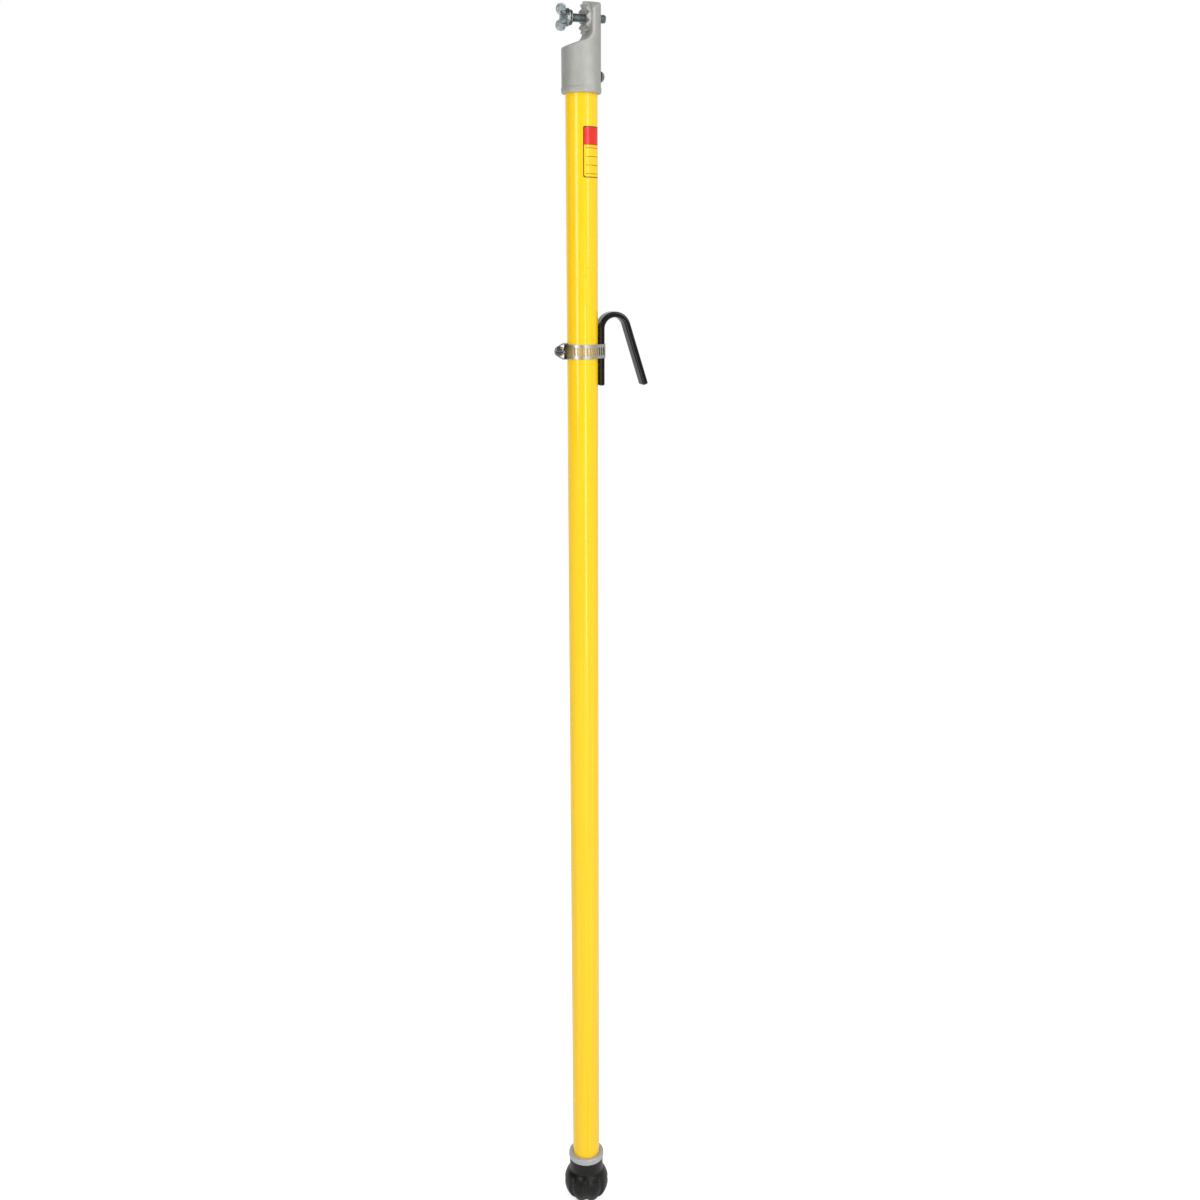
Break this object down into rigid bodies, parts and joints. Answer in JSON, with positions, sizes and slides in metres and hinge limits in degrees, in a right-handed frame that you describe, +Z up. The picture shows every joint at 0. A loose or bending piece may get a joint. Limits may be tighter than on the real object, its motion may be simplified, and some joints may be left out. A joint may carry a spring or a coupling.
{
  "type": "lineman hot stick",
  "caption": "Insulating glass-fibre pole with a serrated universal tool head and wing screw, a clamped vinyl-dipped hanging hook and a lobed rubber foot",
  "frame": {"origin": "middle of the flat tread under the rubber foot, on the pole's axis", "axes": "+Z up the pole from foot to head, +X to the hanging hook, the serrated disc faces -X"},
  "size_m": [0.0993, 0.053, 1.3506],
  "materials": {
    "fibreglass_yellow": "gloss gel-coat over wound glass fibre",
    "foam": "closed-cell foam",
    "plug_resin": "cast resin",
    "cast_aluminium": "sand cast, tumbled",
    "collar_aluminium": "satin",
    "rivet_aluminium": "satin",
    "zinc_steel": "zinc plated",
    "spring_steel": "plated spring steel",
    "stainless": "bright rolled stainless",
    "hook_steel": "bare mild steel",
    "vinyl_black": "dipped vinyl",
    "rubber_black": "moulded rubber"
  },
  "bodies": {
    "pole": {"pole_tube": "fibreglass_yellow", "foam_core": "foam", "head_plug": "plug_resin", "butt_plug": "plug_resin", "universal_head": "cast_aluminium", "head_rivet": "rivet_aluminium", "butt_ferrule": "collar_aluminium", "rubber_foot": "rubber_black"},
    "screw_washers": {"flat_washer": "zinc_steel", "lock_washer": "spring_steel"},
    "screw": {"wing_screw": "zinc_steel", "screw_stud": "zinc_steel"},
    "hanger": {"clamp_band": "stainless", "clamp_housing": "stainless", "hook_strip": "hook_steel", "hook_coating": "vinyl_black"},
    "worm": {"clamp_screw": "stainless"}
  },
  "joints": [
    {"name": "wing_advance", "type": "slide", "parent": "pole", "child": "screw_washers", "axis": [1, 0, 0], "range_m": [-0.0141, 0.0098]},
    {"name": "wing_turn", "type": "hinge", "parent": "screw_washers", "child": "screw", "pos_m": [0, 0, 1.3356], "axis": [1, 0, 0], "range_deg": [-3600, 2520]},
    {"name": "hook_slide", "type": "slide", "parent": "pole", "child": "hanger", "axis": [0, 0, 1], "range_m": [-0.915, 0.205]},
    {"name": "clamp_screw_turn", "type": "hinge", "parent": "hanger", "child": "worm", "pos_m": [-0.02206, 0.00717, 1.0199], "axis": [-0.309, -0.9511, 0], "continuous": true}
  ],
  "couplings": [
    {"joint": "wing_turn", "follows": "wing_advance", "rad_per_m": 4452.7}
  ]
}
